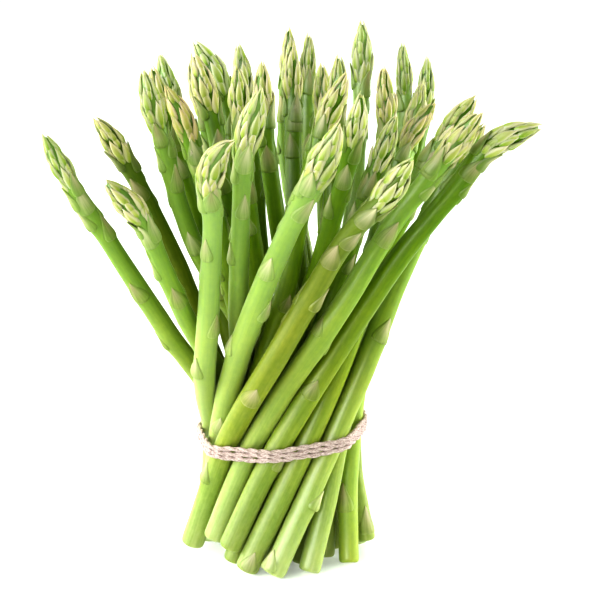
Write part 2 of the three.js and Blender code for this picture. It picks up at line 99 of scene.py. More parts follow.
# Scales listed one by one where a spear shows: height, angle (-90 is the front, 0 the right), length, half
# turn, how far proud, and how pale (angles in degrees)
PLACED = {
    1: [(186, -60, 10, 76, 0.3, 0.5), (182, -172, 13, 66, 0.8, 0.7), (158, -127, 11, 52, 0.35, 0.55),
        (120, -38, 11, 50, 0.3, 0.35), (99, -140, 10, 50, 0.8, 0.6)],
    2: [(191, -165, 11, 60, 0.7, 0.9), (181, -52, 12, 72, 0.3, 0.6), (150, -117, 11, 55, 0.45, 0.9),
        (129, -22, 10, 50, 0.9, 0.7), (106, -172, 9, 50, 0.7, 0.9), (60, -104, 10, 50, 0.3, 0.8)],
    3: [(166, -60, 11, 60, 0.4, 0.6), (154, -115, 12, 75, 0.3, 0.5), (132, -22, 12, 60, 0.6, 0.6),
        (80, -97, 10, 62, 0.35, 0.55), (31, -168, 9, 60, 0.9, 0.6)],
    4: [(184, -128, 10, 70, 0.4, 0.4), (176, -25, 10, 60, 0.5, 0.6), (152, -82, 12, 68, 0.3, 0.5),
        (107, -150, 8, 50, 0.2, 0.1)],
    5: [(185, -75, 11, 75, 0.3, 0.3), (178, -15, 10, 55, 0.7, 0.9), (75, -100, 9, 55, 0.2, 0.0),
        (40, -25, 9, 55, 0.3, 0.8)],
    6: [(180, -100, 10, 74, 0.4, 0.5), (160, -40, 11, 60, 0.4, 0.6), (1, -95, 9, 48, 0.35, 0.7)],
    7: [(104, -60, 11, 60, 0.4, 0.6), (31, -22, 9, 60, 1.0, 0.9), (1, -150, 9, 60, 1.2, 1.0)],
    9: [(22, -120, 12, 62, 0.3, 0.4)],
    10: [(3, -50, 12, 60, 0.3, 0.6)],
    16: [(171, -110, 12, 75, 0.4, 0.3), (154, -150, 11, 60, 0.7, 0.8)],
    17: [(184, -63, 12, 80, 0.4, 0.8), (176, -140, 12, 60, 0.6, 0.6), (168, -20, 12, 70, 0.5, 0.3),
         (134, -110, 12, 70, 0.2, 0.3), (104, -175, 10, 50, 0.4, 0.5)],
    18: [(167, -115, 12, 70, 0.4, 0.9), (150, -170, 11, 55, 0.7, 0.9), (134, -80, 12, 66, 0.35, 0.3)],
    19: [(181, -165, 12, 60, 0.7, 0.8), (188, -95, 14, 60, 0.4, 0.8), (166, -66, 11, 60, 0.3, 0.7),
         (143, -165, 10, 55, 0.7, 0.8)],
    20: [(120, -60, 8, 50, 0.3, 0.3)],
    35: [(165, -90, 11, 85, 0.3, 0.2)],
}
PLACED_LIFT = 0.1
NECK = 8  # on a spear with placed scales, the spiral's ones this near the head stay in front too
LOWEST_SCALE = 8  # the spiral's scales all start higher than this
# Along a scale, and its half width or its swell there, each as a share of the whole
SCALE_OUTLINE = [(0, 0.9), (0.08, 0.98), (0.14, 1), (0.35, 0.84), (0.6, 0.54), (0.85, 0.22), (1, 0.03)]
SCALE_SWELL = [(0, 0.7), (0.12, 1), (0.3, 0.8), (0.6, 0.45), (1, 0.2)]
SCALE_THICK = 0.45
SCALE_SUNK = 0.35  # its inner face lies this far inside the skin
SCALE_ON_HEAD = 0.9  # in the head it lies on this share of the head's half width
SCALE_RISE = 0.7  # the corners of its foot are this much higher than the middle
KNUCKLE = 0.5  # how far the skin rises where a scale grows out, and over what length
KNUCKLE_REACH = 4.5

TWINE = 2.1
TWINE_TURNS = 3
TWINE_PITCH = 1.9
TWINE_TILT = math.tan(math.radians(5.3))
TWINE_SLACK = 0.1  # how far off the stems it lies
STRAND_RADIUS = 0.7  # as a share of the twine's radius
STRAND_OFF = 0.4  # how far a strand's middle is off the twine's, as a share of the twine's radius
STRAND_PITCH = 11
STRAND_SIDES = 8
FIBRES = 300
FIBRE_RADIUS = 0.035
TIE = Vector((-4.46, 1.58, 53))  # the middle of the tie

SEED = 35
rng = random.Random(SEED)


def table_value(table, place):
    """Values read off a table of (place, value) pairs."""
    places, values = zip(*table)
    return np.interp(place, places, values)


def lengths_along(path):
    """The distance along a path from its start to each of its places."""
    return np.r_[0, np.cumsum(np.linalg.norm(np.diff(path, axis=0), axis=1))]


def directions_along(path):
    """The direction of a path at each of its places."""
    ahead = np.gradient(path, axis=0)
    return ahead / np.linalg.norm(ahead, axis=1)[:, None]


# ---- Blanks, modelled once -----------------------------------------------------------------------

STEM_SIDES = 20
STEM_RINGS = 96


def take_shape(obj):
    """A finished blank as arrays: corners, loops, and where each face starts.

    The faces are sorted, because a new ball has them in another order each time.
    """
    mesh = obj.data
    corners = np.array([corner.co for corner in mesh.vertices], float)
    faces = sorted(tuple(face.vertices) for face in mesh.polygons)
    bpy.data.objects.remove(obj)
    bpy.data.meshes.remove(mesh)
    starts = np.cumsum([0] + [len(face) for face in faces[:-1]])
    return corners, np.concatenate(faces), starts


def stem_blank():
    """A straight rod one unit long and one in radius, in many short lengths."""
    bpy.ops.mesh.primitive_cylinder_add(
        vertices=STEM_SIDES, radius=1, depth=1, end_fill_type="TRIFAN", location=(0, 0, 0.5)
    )
    rod = bpy.context.object
    bpy.ops.object.transform_apply(location=True)
    bpy.ops.object.mode_set(mode="EDIT")
    bpy.ops.mesh.select_mode(type="EDGE")
    bpy.ops.mesh.select_all(action="DESELECT")
    bpy.ops.object.mode_set(mode="OBJECT")
    for edge in rod.data.edges:
        a, b = (rod.data.vertices[k].co for k in edge.vertices)
        edge.select = abs(a.z - b.z) > 0.5
    bpy.ops.object.mode_set(mode="EDIT")
    bpy.ops.mesh.subdivide(number_cuts=STEM_RINGS - 1)
    bpy.ops.object.mode_set(mode="OBJECT")
    return take_shape(rod)


def bud_blank():
    """A ball from -1 to 1, which each bud draws out to a pointed drop."""
    bpy.ops.mesh.primitive_uv_sphere_add(segments=14, ring_count=11, radius=1)
    return take_shape(bpy.context.object)


def scale_blank():
    """A flat sheet with two faces and a rim: across -1 to 1, along -1 to 1, thickness -1 to 1."""
    bpy.ops.mesh.primitive_grid_add(x_subdivisions=10, y_subdivisions=12, size=2)
    sheet = bpy.context.object
    thicken = sheet.modifiers.new("two faces", "SOLIDIFY")
    thicken.thickness = 2
    thicken.offset = 0
    bpy.ops.object.modifier_apply(modifier=thicken.name)
    return take_shape(sheet)


# ---- Middle lines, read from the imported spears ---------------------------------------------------

STEP = 1.5  # between sections
MOST_STEPS = 300
LOW_CUT, HIGH_CUT = 34, 38  # two level sections, which show where a spear is and which way it leans
ANYWHERE = 500
SPEAR_REACH = 10  # a slanted section of one spear lies within this of its middle
LEAST_AREA = 0.5  # a smaller section is no section
TIP_AREA = 1.0  # past the tip, a section is smaller than this
FOOT_SHARE = 0.7  # past the foot, a section is smaller than this share of the usual one
END_AHEAD, END_BESIDE = 12, 7  # the end's corners are this near the last section


def corners_of(packed):
    """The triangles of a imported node, in millimetres."""
    mesh = packed.data
    mesh.calc_loop_triangles()
    corners = np.empty(len(mesh.vertices) * 3, np.float32)
    mesh.vertices.foreach_get("co", corners)
    triangles = np.empty(len(mesh.loop_triangles) * 3, np.int32)
    mesh.loop_triangles.foreach_get("vertices", triangles)
    return corners.reshape(-1, 3)[triangles].reshape(-1, 3, 3).astype(float) / MM


def section(corners, at, along, reach):
    """The middle and the area of a spear's section at a place, or None where there is none."""
    height = (corners - at) @ along
    crossing = (height.min(1) < 0) & (height.max(1) >= 0)
    cut, height = corners[crossing], height[crossing]
    above = height >= 0
    alone = np.where(above.sum(1) == 1, above.argmax(1), above.argmin(1))
    rows = np.arange(len(cut))
    tip, tip_height = cut[rows, alone], height[rows, alone]
    ends = []
    for turn in (1, 2):
        other = (alone + turn) % 3
        share = tip_height / (tip_height - height[rows, other])
        ends.append(tip + (cut[rows, other] - tip) * share[:, None] - at)
    flip = above[rows, alone][:, None]
    start, end = np.where(flip, ends[0], ends[1]), np.where(flip, ends[1], ends[0])
    near = (np.linalg.norm(start, axis=1) < reach) & (np.linalg.norm(end, axis=1) < reach)
    start, end = start[near], end[near]
    turned = np.cross(start, end) @ along
    area = turned.sum() / 2
    if abs(area) < LEAST_AREA:
        return None
    return at + ((start + end) * turned[:, None]).sum(0) / (6 * area), abs(area)


def march(corners, at, along, least):
    """Places on the middle line from one section on, until the sections' area falls below the least."""
    places = [at]
    while len(places) < MOST_STEPS:
        found = section(corners, at + along * STEP, along, SPEAR_REACH)
        if found is None or found[1] < least:
            break
        onward = found[0] - at
        along = along * 0.5 + onward / np.linalg.norm(onward) * 0.5
        along /= np.linalg.norm(along)
        at = found[0]
        places.append(at)
    reach = corners.reshape(-1, 3) - at
    ahead = reach @ along
    beside = np.linalg.norm(reach - ahead[:, None] * along, axis=1)
    end = ahead[(beside < END_BESIDE) & (ahead < END_AHEAD)].max()
    places.append(at + along * max(end, 0.1))
    return places


def middle_line(packed):
    """A spear's middle line from its foot to its tip."""
    corners = corners_of(packed)
    up = np.array([0.0, 0.0, 1.0])
    low, high = (section(corners, up * height, up, ANYWHERE)[0] for height in (LOW_CUT, HIGH_CUT))
    along = high - low
    along /= np.linalg.norm(along)
    middle, area = section(corners, low, along, SPEAR_REACH)
    rising = march(corners, middle, along, TIP_AREA)
    falling = march(corners, middle, -along, FOOT_SHARE * area)
    return np.array(falling[:0:-1] + rising)


class Line:
    """A smooth middle line that a straight spear is bent to, with its right and back at every millimetre."""

    EASE = 4  # the line is evened out over this length

    def __init__(self, places):
        lengths = lengths_along(places)
        self.length = lengths[-1]
        self.at = np.linspace(0, self.length, int(round(self.length)) + 1)
        even = np.stack([np.interp(self.at, lengths, places[:, k]) for k in range(3)], 1)
        pad = 3 * self.EASE
        before = even[0] + (even[0] - even[self.EASE]) / self.EASE * np.arange(pad, 0, -1)[:, None]
        after = even[-1] + (even[-1] - even[-1 - self.EASE]) / self.EASE * np.arange(1, pad + 1)[:, None]
        padded = np.concatenate([before, even, after])
        weight = np.exp(-0.5 * (np.arange(-pad, pad + 1) / self.EASE) ** 2)
        weight /= weight.sum()
        self.places = np.stack([np.convolve(padded[:, k], weight, "valid") for k in range(3)], 1)
        self.ahead = directions_along(self.places)
        self.right = np.cross([0, 1, 0], self.ahead)
        self.right /= np.linalg.norm(self.right, axis=1)[:, None]
        self.back = np.cross(self.ahead, self.right)

    def read(self, values, distance):
        return np.stack([np.interp(distance, self.at, values[:, k]) for k in range(3)], -1)

    def bend(self, straight):
        """Straight places (right, back, distance from the foot) to places in the frame, in millimetres."""
        distance = straight[:, 2]
        past = distance - np.clip(distance, 0, self.length)
        return (
            self.read(self.places, distance)
            + self.read(self.ahead, distance) * past[:, None]
            + self.read(self.right, distance) * straight[:, :1]
            + self.read(self.back, distance) * straight[:, 1:2]
        )

    def bend_on_ground(self, straight):
        """The same, with nothing below the ground."""
        placed = self.bend(straight)
        placed[:, 2] = np.maximum(placed[:, 2], 0)
        return placed


# ---- One spear -----------------------------------------------------------------------------------

SKIN, PAPER, BUD, CUT = range(4)  # the order of a spear's materials


class Spear:
    """A spear's sizes and its middle line."""

    def __init__(self, number, packed):
        self.number = number
        self.line = Line(middle_line(packed))
        self.length = self.line.length
        self.thick = THICK.get(number, STEM)
        self.head_length, self.head_width = HEADS.get(number, HEAD)
        self.head_start = self.length - self.head_length
        self.tone, self.fawn = TONES[number]
        self.joints = []  # height and angle of each scale

    def stem_radius(self, distance):
        thins_from = THINS_FROM * self.length
        thin = np.clip((distance - thins_from) / (self.head_start - thins_from), 0, 1)
        thin = thin * thin * (3 - 2 * thin)
        return self.thick / 2 * (1 - (1 - NECK_SHARE) * thin)

    def half_width(self, outline, distance):
        """The head's or its core's half width."""
        return self.head_width / 2 * table_value(outline, (distance - self.head_start) / self.head_length)

    def head_radius(self, distance):
        return self.half_width(HEAD_OUTLINE, distance)

    def skin_radius(self, distance):
        """The stem, and in the head the core that the buds stand on."""
        blend = np.clip((distance - self.head_start) / CORE_BLEND, 0, 1)
        core = self.half_width(CORE_OUTLINE, distance)
        return self.stem_radius(distance) * (1 - blend) + core * blend

    def knuckles(self, angle, distance):
        """How far the skin rises where a scale grows out."""
        rise = np.zeros_like(distance)
        for height, towards in self.joints:
            beside = np.clip(np.cos(angle - towards), 0, 1) ** 2
            rise += KNUCKLE * beside * np.exp(-(((distance - height - 1) / KNUCKLE_REACH) ** 2))
        return rise

    def spiral(self, count):
        return GOLDEN_ANGLE * count + SPEAR_TURN * self.number


def round_about(angle, radius, distance):
    """Straight places from an angle, a radius and a distance from the foot."""
    return np.stack([radius * np.cos(angle), radius * np.sin(angle), distance], -1)


def stem_part(spear, blank):
    """The stem: its rings are close together at its rounded foot, and its lower end is cut flesh."""
    corners, loops, starts = blank
    ring = np.rint(corners[:, 2] * STEM_RINGS).astype(int)
    foot_rings = [height for height, _ in FOOT_ROUND]
    rest = np.linspace(foot_rings[-1], spear.length - CORE_END, STEM_RINGS + 2 - len(foot_rings))
    distance = np.r_[foot_rings[:-1], rest][ring]
    angle = np.arctan2(corners[:, 1], corners[:, 0])
    out = np.hypot(corners[:, 0], corners[:, 1])
    wave = 1 + OUT_OF_ROUND * np.sin(3 * angle + 9 * spear.tone + 0.05 * distance)
    radius = spear.skin_radius(distance) * wave + spear.knuckles(angle, distance)
    radius = radius * table_value(FOOT_ROUND, distance) * out
    straight = round_about(angle, radius, distance)
    on_end = np.array([corners[loops[first : first + 3], 2].max() < 1e-4 for first in starts])
    return straight, np.zeros_like(straight), loops, starts, np.where(on_end, CUT, SKIN)


def scale_part(spear, blank, start, angle, length, half_turn, proud, lift, pale):
    """A thin pointed scale that hugs the stem; its foot stands proud, and its tip may stand off by lift."""
    corners, loops, starts = blank
    across, along = corners[:, 0], (corners[:, 1] + 1) / 2
    outer = (corners[:, 2] + 1) / 2
    turn = angle + across * half_turn * table_value(SCALE_OUTLINE, along)
    distance = start + along * length + SCALE_RISE * across**2 * (1 - along)
    swell = table_value(SCALE_SWELL, along) * (1 - across**4)
    head = spear.head_radius(distance) * SCALE_ON_HEAD * (distance > spear.head_start)
    inner = np.maximum(spear.stem_radius(distance), head) - SCALE_SUNK + lift * along**2
    radius = inner + outer * (SCALE_THICK + proud * swell) + spear.knuckles(turn, distance)
    straight = round_about(turn, radius, distance)
    leaf = np.stack([across, along, np.full_like(along, pale)], -1)
    return straight, leaf, loops, starts, np.full(len(starts), PAPER)


def drop_width(along):
    """How wide a drop is along it, as a share of its widest: round at the foot, then a long point."""
    widest = DROP_FOOT / (DROP_FOOT + DROP_POINT)
    return (along / widest) ** DROP_FOOT * ((1 - along) / (1 - widest)) ** DROP_POINT


def bud_part(spear, blank, start, angle, length, width, out, pale):
    """A plump pointed bud that hugs the head and leans in with its outline."""
    corners, loops, starts = blank
    along = (corners[:, 2] + 1) / 2
    ring = np.sqrt(np.clip(1 - corners[:, 2] ** 2, 0, 1))
    across, outwards = (np.where(ring > TINY, corners[:, k] / np.maximum(ring, TINY), 0) for k in (0, 1))
    half_width = drop_width(along) * width / 2
    distance = start + along * length
    reach = spear.head_radius(distance) * out
    radius = reach * table_value(BUD_LEAN, along) - (1 - outwards) * half_width / 2
    turn = angle - across * half_width / np.maximum(reach, LEAST_REACH)
    straight = round_about(turn, radius, distance)
    leaf = np.stack([across, along, np.full_like(along, pale)], -1)
    return straight, leaf, loops, starts, np.full(len(starts), BUD)


def head_parts(spear):
    """The head's buds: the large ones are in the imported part's places, with three slimmer ones after each."""
    parts = []
    for count in range(BUD_GROUP * (BUDS - 1) + 1):
        large, extra = divmod(count, BUD_GROUP)
        down = count / BUD_GROUP / (BUDS - 1)
        size = rng.uniform(1.05, 1.2) if extra == 0 else rng.uniform(0.78, 1.0)
        length = spear.head_length * (BUD_LENGTH[0] + BUD_LENGTH[1] * down) * size
        width = spear.head_width * (BUD_WIDTH[0] + BUD_WIDTH[1] * down) * size
        start = spear.head_start + (spear.head_length - length) * (1 - down)
        if 0 < count < SHIFTED_BUDS:
            start += rng.uniform(-0.9, 0.9)
        angle = spear.spiral(large) - extra * GOLDEN_ANGLE + rng.uniform(-0.12, 0.12) * min(extra, 1)
        out = rng.uniform(0.98, 1.03) if extra == 0 else rng.uniform(0.87, 0.98)
        parts.append(bud_part(spear, BUD_BLANK, start, angle, length, width, out, rng.random()))
    return parts


def spear_parts(spear):
    """The stem, its buds and its scales; with placed scales, the others stay at its back and its neck."""
    heads = head_parts(spear)
    scales = []
    placed = PLACED.get(spear.number, [])
    for below, turned, length, half_turn, proud, lift in SCALES:
        start = spear.head_start - below + rng.uniform(-0.1, 0.1) * below
        angle = spear.spiral(BUDS) + math.radians(turned + rng.uniform(-12, 12))
        length *= rng.uniform(0.85, 1.1)
        half_turn = math.radians(half_turn * rng.uniform(0.88, 1.08))
        pale = rng.random()
        in_front = placed and below > NECK and math.sin(angle) < 0.3
        if start > LOWEST_SCALE and not in_front:
            scales.append((start, angle, length, half_turn, proud, lift, pale))
    for height, angle, length, half_turn, proud, pale in placed:
        turns = (math.radians(angle), math.radians(half_turn))
        scales.append((height, turns[0], length, turns[1], proud, PLACED_LIFT, pale))
    spear.joints = [(start, angle) for start, angle, *_ in scales]
    papers = [scale_part(spear, SCALE_BLANK, *scale) for scale in scales]
    return [stem_part(spear, STEM_BLANK)] + heads + papers


def join_parts(name, parts, place, materials, length=1.0, tones=(0.5, 0.5)):
    """One mesh from parts that each give corners, leaf places, loops, face starts and face materials.

    Place is a function that puts the corners in the frame. Each corner carries where it was in the
    straight part, its leaf place, and how far up it is with the spear's tones.
    """
    straights, leaves, loop_lists, start_lists, finishes = zip(*parts)
    straight = np.concatenate(straights)
    growth = np.stack([straight[:, 2] / length] + [np.full(len(straight), tone) for tone in tones], -1)
    firsts = np.cumsum([0] + [len(corners) for corners in straights])
    loop_firsts = np.cumsum([0] + [len(loops) for loops in loop_lists])
    loops = np.concatenate([loops + first for loops, first in zip(loop_lists, firsts)])
    starts = np.concatenate([starts + first for starts, first in zip(start_lists, loop_firsts)])
    finish = np.concatenate(finishes)
    totals = np.diff(np.r_[starts, len(loops)])
    mesh = bpy.data.meshes.new(name)
    mesh.vertices.add(len(straight))
    mesh.loops.add(len(loops))
    mesh.polygons.add(len(starts))
    mesh.vertices.foreach_set("co", (place(straight) * MM).astype(np.float32).ravel())
    mesh.loops.foreach_set("vertex_index", loops.astype(np.int32))
    mesh.polygons.foreach_set("loop_start", starts.astype(np.int32))
    mesh.polygons.foreach_set("loop_total", totals.astype(np.int32))
    mesh.polygons.foreach_set("material_index", finish.astype(np.int32))
    mesh.polygons.foreach_set("use_smooth", finish != CUT)
    for label, values in (("grown", straight), ("leaf", np.concatenate(leaves)), ("growth", growth)):
        attribute = mesh.attributes.new(label, "FLOAT_VECTOR", "POINT")
        attribute.data.foreach_set("vector", values.astype(np.float32).ravel())
    mesh.update()
    mesh.validate()
    for material in materials:
        mesh.materials.append(material)
    obj = bpy.data.objects.new(name, mesh)
    bpy.context.scene.collection.objects.link(obj)
    return obj


# ---- Materials -----------------------------------------------------------------------------------

# A usual stem's green from its foot (0) to its tip (1): pale at the foot, deep below the head
GREEN = [
    (0, "#c0c29c"), (0.15, "#b4b876"), (0.4, "#9ea43a"),
    (0.65, "#869d08"), (0.85, "#829c04"), (0.95, "#688c00"),
]
# A riper stem is duller and more olive
RIPE = [
    (0, "#c8caa8"), (0.12, "#bcc286"), (0.3, "#acac58"),
    (0.5, "#a0a044"), (0.75, "#888e36"), (0.95, "#788828"),
]
LEMON = [(0, "#acb03c"), (0.2, "#a4b038"), (0.5, "#98ac28"), (0.95, "#84a020")]  # another is yellower
OTHER_SKINS = {3: "olive", 9: "lemon", 16: "olive"}


def linear(hex_colour):
    """An sRGB hex colour as linear RGBA."""
    parts = [int(hex_colour[k : k + 2], 16) / 255 for k in (1, 3, 5)]
    return [c / 12.92 if c <= 0.04045 else ((c + 0.055) / 1.055) ** 2.4 for c in parts] + [1.0]


def node(tree, kind, inputs=None, output=0, stops=(), **settings):
    """Adds a node with its settings, its colour stops and its inputs as values or links; gives one output."""
    made = tree.nodes.new(kind)
    for name, value in settings.items():
        setattr(made, name, value)
    while stops and len(made.color_ramp.elements) < len(stops):
        made.color_ramp.elements.new(0.5)
    for k, (position, colour) in enumerate(stops):
        made.color_ramp.elements[k].position = position
        made.color_ramp.elements[k].color = linear(colour)
    for name, value in (inputs or {}).items():
        if isinstance(value, bpy.types.NodeSocket):
            tree.links.new(value, made.inputs[name])
        else:
            made.inputs[name].default_value = value
    return made.outputs[output]


ATTRIBUTE = "ShaderNodeAttribute"
BUMP = "ShaderNodeBump"
MAPPING = "ShaderNodeMapping"
MATH = "ShaderNodeMath"
MIX = "ShaderNodeMix"
NOISE = "ShaderNodeTexNoise"
RAMP = "ShaderNodeValToRGB"
SPLIT = "ShaderNodeSeparateXYZ"
VORONOI = "ShaderNodeTexVoronoi"
BLEND = {"output": 2, "data_type": "RGBA"}
MULTIPLY = {"output": 2, "data_type": "RGBA", "blend_type": "MULTIPLY"}


def new_material(name, colour="#ffffff", carried=(1, 1, 1), **shader_values):
    """A material whose shader has these values; light is carried this far inside, in millimetres."""
    material = bpy.data.materials.new(name)
    material.use_nodes = True
    tree = material.node_tree
    shader = tree.nodes["Principled BSDF"]
    shader.inputs["Base Color"].default_value = linear(colour)
    shader.inputs["Subsurface Radius"].default_value = carried
    shader.inputs["Subsurface Scale"].default_value = MM
    for socket, value in shader_values.items():
        shader.inputs[socket.replace("_", " ")].default_value = value
    return material, tree, shader


def finish_material(tree, shader, colour, height, strength, distance):
    """Gives a shader its colour and its fine relief."""
    normal = node(tree, BUMP, {"Strength": strength, "Distance": distance * MM, "Height": height})
    tree.links.new(colour, shader.inputs["Base Color"])
    tree.links.new(normal, shader.inputs["Normal"])


# Marks along a stem: how many to a millimetre (to the right, to the back and along), detail, tints
STREAKS = ((0.9, 0.9, 0.03), 3.0, [(0.3, "#e2ead4"), (0.7, "#ffffff")])  # 1.1 mm wide and 33 mm long
PATCHES = ((0.1, 0.1, 0.04), 3.0, [(0.35, "#e4efd4"), (0.65, "#fffff2")])  # 10 mm wide and 25 mm long
MOTTLES = ((0.7, 0.7, 0.4), 4.0, [(0.35, "#eff4e6"), (0.65, "#ffffff")])  # 1.4 mm wide and 2.5 mm long


def grown_colour(tree, stops):
    """The stem's own green from foot to tip, paler or darker by its tone, with fine streaks and patches."""
    growth = node(tree, ATTRIBUTE, output="Vector", attribute_name="growth")
    grown = node(tree, ATTRIBUTE, output="Vector", attribute_name="grown")
    height, tone = (node(tree, SPLIT, {0: growth}, axis) for axis in "XY")
    colour = node(tree, RAMP, {0: height}, stops=stops)
    marks = []
    for counts, detail, tints in (STREAKS, PATCHES, MOTTLES):
        place = node(tree, MAPPING, {"Vector": grown, "Scale": counts})
        marks.append(node(tree, NOISE, {"Vector": place, "Scale": 1.0, "Detail": detail}))
        tint = node(tree, RAMP, {0: marks[-1]}, stops=tints)
        colour = node(tree, MIX, {0: 1.0, 6: colour, 7: tint}, **MULTIPLY)
    tone_tint = node(tree, RAMP, {0: tone}, stops=[(0, "#b9c87c"), (0.5, "#f2f8e4"), (1, "#ffffff")])
    colour = node(tree, MIX, {0: 1.0, 6: colour, 7: tone_tint}, **MULTIPLY)
    wax = node(tree, RAMP, {0: tone}, stops=[(0.3, "#000000"), (0.5, "#6a6a6a"), (1, "#b4b4b4")])
    colour = node(tree, MIX, {0: wax, 6: colour, 7: linear("#b8ce98")}, **BLEND)
    return colour, marks[0]


def leaf_places(tree):
    """A scale's or bud's own places: all three, how far to a side, how far along, and how pale it is."""
    leaf = node(tree, ATTRIBUTE, output="Vector", attribute_name="leaf")
    across, along, pale = (node(tree, SPLIT, {0: leaf}, axis) for axis in "XYZ")
    sideways = node(tree, MATH, {0: across}, operation="ABSOLUTE")
    return leaf, sideways, along, pale


def leaf_noise(tree, leaf, counts):
    """A pattern on a scale or bud; how pale it is moves the pattern, so each one has its own."""
    place = node(tree, MAPPING, {"Vector": leaf, "Scale": counts})
    return node(tree, NOISE, {"Vector": place, "Scale": 1.0, "Detail": 2.0})


def skin_material(name, stops):
    """Waxy skin: a soft broad gloss, fine streaks along the stem, and a glow from light carried inside."""
    material, tree, shader = new_material(
        name, carried=(1.2, 1.8, 0.15), Roughness=0.44, IOR=1.45, Specular_IOR_Level=0.2,
        Subsurface_Weight=0.35, Coat_Weight=0.03, Coat_Roughness=0.3, Sheen_Weight=0.2, Sheen_Roughness=0.2,
    )
    colour, streaks = grown_colour(tree, stops)
    finish_material(tree, shader, colour, streaks, 0.3, 0.1)
    return material


def scale_material(name, stops):
    """Papery scale: matt, the stem's green at its sides, fawn in its middle and tip, with a pale rim."""
    material, tree, shader = new_material(
        name, carried=(1.2, 1.1, 0.4), Roughness=0.5, IOR=1.4, Specular_IOR_Level=0.2, Subsurface_Weight=0.2
    )
    colour, _ = grown_colour(tree, stops)
    leaf, sideways, along, pale = leaf_places(tree)
    fawns = [(0, "#9c9474"), (0.4, "#b8a48e"), (0.7, "#c2b4a2"), (1, "#d6ccb4")]
    fawn = node(tree, RAMP, {0: pale}, stops=fawns)
    rises = [(0, "#7c7c7c"), (0.2, "#888888"), (0.55, "#cccccc"), (1, "#f4f4f4")]
    rise = node(tree, RAMP, {0: along}, stops=rises)
    middle = node(tree, RAMP, {0: sideways}, stops=[(0.2, "#ffffff"), (0.8, "#909090")])
    share = node(tree, MATH, {0: rise, 1: middle}, operation="MULTIPLY")
    colour = node(tree, MIX, {0: share, 6: colour, 7: fawn}, **BLEND)
    edge = node(tree, RAMP, {0: sideways}, stops=[(0.8, "#000000"), (1, "#484848")])
    colour = node(tree, MIX, {0: edge, 6: colour, 7: linear("#d8dcae")}, **BLEND)
    foot = node(tree, RAMP, {0: along}, stops=[(0.01, "#484848"), (0.08, "#000000")])
    colour = node(tree, MIX, {0: foot, 6: colour, 7: linear("#dfe0b8")}, **BLEND)
    veins = leaf_noise(tree, leaf, (7, 0.8, 13))  # seven from the middle to a side, about 0.7 mm each
    vein_tint = node(tree, RAMP, {0: veins}, stops=[(0.3, "#dbe4cc"), (0.7, "#fffff8")])
    colour = node(tree, MIX, {0: 1.0, 6: colour, 7: vein_tint}, **MULTIPLY)
    finish_material(tree, shader, colour, veins, 0.3, 0.1)
    return material


def bud_material():
    """Bud skin: matt, green at its foot, yellower or more fawn further up, with a cream margin."""
    material, tree, shader = new_material(
        "bud_skin", carried=(1.4, 1.4, 0.3), Roughness=0.5, IOR=1.42, Specular_IOR_Level=0.2,
        Subsurface_Weight=0.25,
    )
    leaf, sideways, along, pale = leaf_places(tree)
    growth = node(tree, ATTRIBUTE, output="Vector", attribute_name="growth")
    fawn = node(tree, SPLIT, {0: growth}, "Z")
    fresh_greens = [(0, "#74a01c"), (0.3, "#96ae48"), (0.7, "#b2bc80"), (0.95, "#ccc8b8")]
    fresh = node(tree, RAMP, {0: along}, stops=fresh_greens)
    dry_fawns = [(0, "#84a030"), (0.3, "#b0ac5c"), (0.7, "#c8b482"), (0.95, "#d6b69c")]
    dry = node(tree, RAMP, {0: along}, stops=dry_fawns)
    body = node(tree, MIX, {0: fawn, 6: fresh, 7: dry}, **BLEND)
    margin = node(tree, MIX, {0: fawn, 6: linear("#ccccc2"), 7: linear("#d8c0b2")}, **BLEND)
    patches = leaf_noise(tree, leaf, (1.2, 1.5, 17))  # these make the margin uneven, 2 to 6 mm at a time
    reach = node(tree, MATH, {0: sideways, 1: patches}, operation="ADD")
    edge = node(tree, RAMP, {0: reach}, stops=[(0.75, "#000000"), (0.95, "#8c8c8c"), (1, "#c8c8c8")])
    colour = node(tree, MIX, {0: edge, 6: body, 7: margin}, **BLEND)
    shade = node(tree, RAMP, {0: pale}, stops=[(0, "#ccdab4"), (0.5, "#eaeedc"), (1, "#f6f6ee")])
    colour = node(tree, MIX, {0: 1.0, 6: colour, 7: shade}, **MULTIPLY)
    veins = leaf_noise(tree, leaf, (5, 0.8, 13))  # five from the middle to a side, about 0.4 mm each
    finish_material(tree, shader, colour, veins, 0.25, 0.1)
    return material


def cut_material():
    """Cut flesh: pale and moist, with the ends of the fibres as darker dots, 0.6 mm apart."""
    material, tree, shader = new_material(
        "cut_flesh", carried=(1.2, 1.0, 0.5), Roughness=0.5, IOR=1.4, Subsurface_Weight=0.1
    )
    grown = node(tree, ATTRIBUTE, output="Vector", attribute_name="grown")
    dots = node(tree, VORONOI, {"Vector": grown, "Scale": 1.6}, "Distance")
    colour = node(tree, RAMP, {0: dots}, stops=[(0.1, "#b9c27c"), (0.35, "#dfe3b2"), (1, "#e9ebc4")])
    finish_material(tree, shader, colour, dots, 0.2, 0.1)
    return material


def jute_material():
    """Jute: dull greyish-pink fibres of uneven tone, lighter where they stand up and darker in between: painted
    highlight and painted shade that follow the fibres' relief.
    """
    material, tree, shader = new_material(
        "twisted_jute", Roughness=0.9, IOR=1.45, Specular_IOR_Level=0.2, Sheen_Weight=0.1
    )
    leaf = node(tree, ATTRIBUTE, output="Vector", attribute_name="leaf")
    place = node(tree, MAPPING, {"Vector": leaf, "Scale": (1.6, 0.35, 1)})
    fibres = node(tree, NOISE, {"Vector": place, "Scale": 3.0, "Detail": 4.0})  # 0.2 mm wide and 1 mm long
    # the fibres' relief sets their colour too: their own uneven tone, with painted shade between them and a
    # painted highlight on the raised ones
    colour = node(tree, RAMP, {0: fibres}, stops=[(0.32, "#745c56"), (0.5, "#b29e98"), (0.68, "#dccec8")])
    finish_material(tree, shader, colour, fibres, 0.6, 0.2)
    return material


# ---- Twine ---------------------------------------------------------------------------------------

